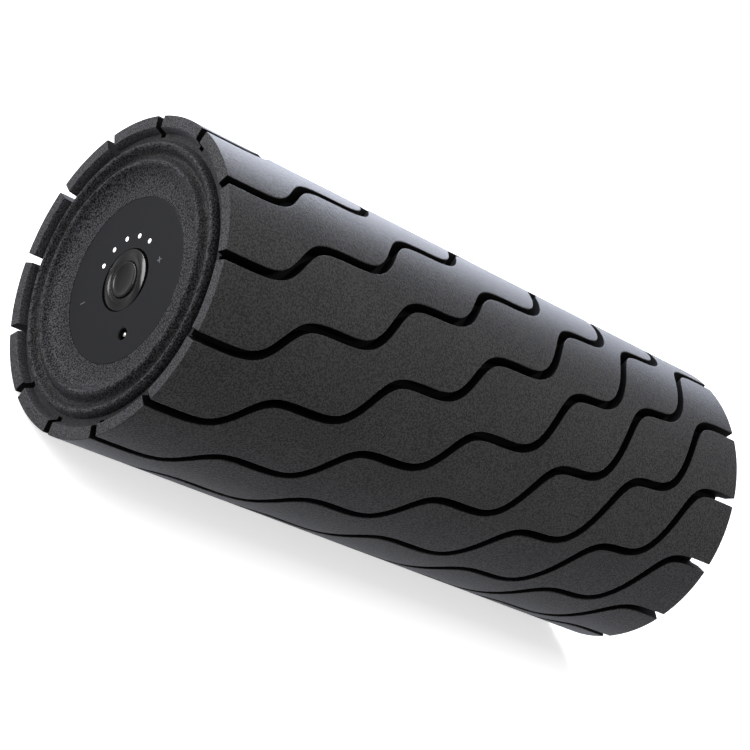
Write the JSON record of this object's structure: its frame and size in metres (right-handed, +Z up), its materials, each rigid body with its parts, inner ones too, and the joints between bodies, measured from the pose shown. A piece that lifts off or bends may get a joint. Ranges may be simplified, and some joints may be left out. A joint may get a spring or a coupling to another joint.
{
  "type": "vibrating foam roller",
  "caption": "Cylindrical massage roller with a grooved foam tread on a rigid core, a motor inside, and a control panel sunk into one end.",
  "frame": {"origin": "the middle of the roller, on its axis", "axes": "+X along the axis from the control end to the far end, +Z up as the roller lies on a floor"},
  "size_m": [0.305, 0.132, 0.132],
  "materials": {
    "tread": "closed-cell foam, dense moulded skin",
    "end_foam": "closed-cell foam, open coarse grain",
    "panel": "fine satin",
    "button": "smooth satin",
    "light": "clear, lit white",
    "socket": "satin",
    "shell": "plain moulded",
    "board": "green solder mask",
    "steel": "zinc plated",
    "can": "drawn steel",
    "cell": "shrink sleeve",
    "holder": "plain moulded",
    "lead": "insulation"
  },
  "bodies": {
    "housing": {"tread_sleeve": "tread", "control_end_ring": "end_foam", "far_end_ring": "end_foam", "control_panel": "panel", "far_end_cap": "panel", "light_guide": "light", "charging_socket": "socket", "power_switch": "socket", "speed_up_switch": "socket", "speed_down_switch": "socket", "core_shell_upper": "shell", "core_shell_lower": "shell", "control_end_frame": "shell", "far_end_frame": "shell", "control_board": "board", "socket_pin": "steel", "board_screw_1": "steel", "control_frame_screw_1": "steel", "far_frame_screw_1": "steel", "battery_cell_1": "cell", "board_screw_2": "steel", "control_frame_screw_2": "steel", "far_frame_screw_2": "steel", "battery_cell_2": "cell", "board_screw_3": "steel", "control_frame_screw_3": "steel", "far_frame_screw_3": "steel", "battery_cell_3": "cell", "core_screw_left_1": "steel", "core_screw_right_1": "steel", "core_screw_left_2": "steel", "core_screw_right_2": "steel", "motor_can": "can", "battery_holder_near": "holder", "battery_holder_far": "holder", "battery_lead": "lead", "motor_lead": "lead"},
    "button": {"power_button": "button"},
    "rocker": {"speed_rocker": "button"},
    "rotor": {"motor_shaft": "steel", "eccentric_weight_near": "steel", "eccentric_weight_far": "steel"}
  },
  "joints": [
    {"name": "power_button_press", "type": "slide", "parent": "housing", "child": "button", "axis": [1, 0, 0], "range_m": [0, 0.0005], "stiffness_N_per_m": 2000},
    {"name": "speed_rocker_tilt", "type": "hinge", "parent": "housing", "child": "rocker", "pos_m": [-0.1436, 0, 0], "axis": [0, 0.8522, 0.5232], "range_deg": [-2.5, 2.5], "stiffness_Nm_per_rad": 0.3},
    {"name": "motor_spin", "type": "hinge", "parent": "housing", "child": "rotor", "pos_m": [0.055, 0, 0], "axis": [1, 0, 0], "continuous": true}
  ]
}
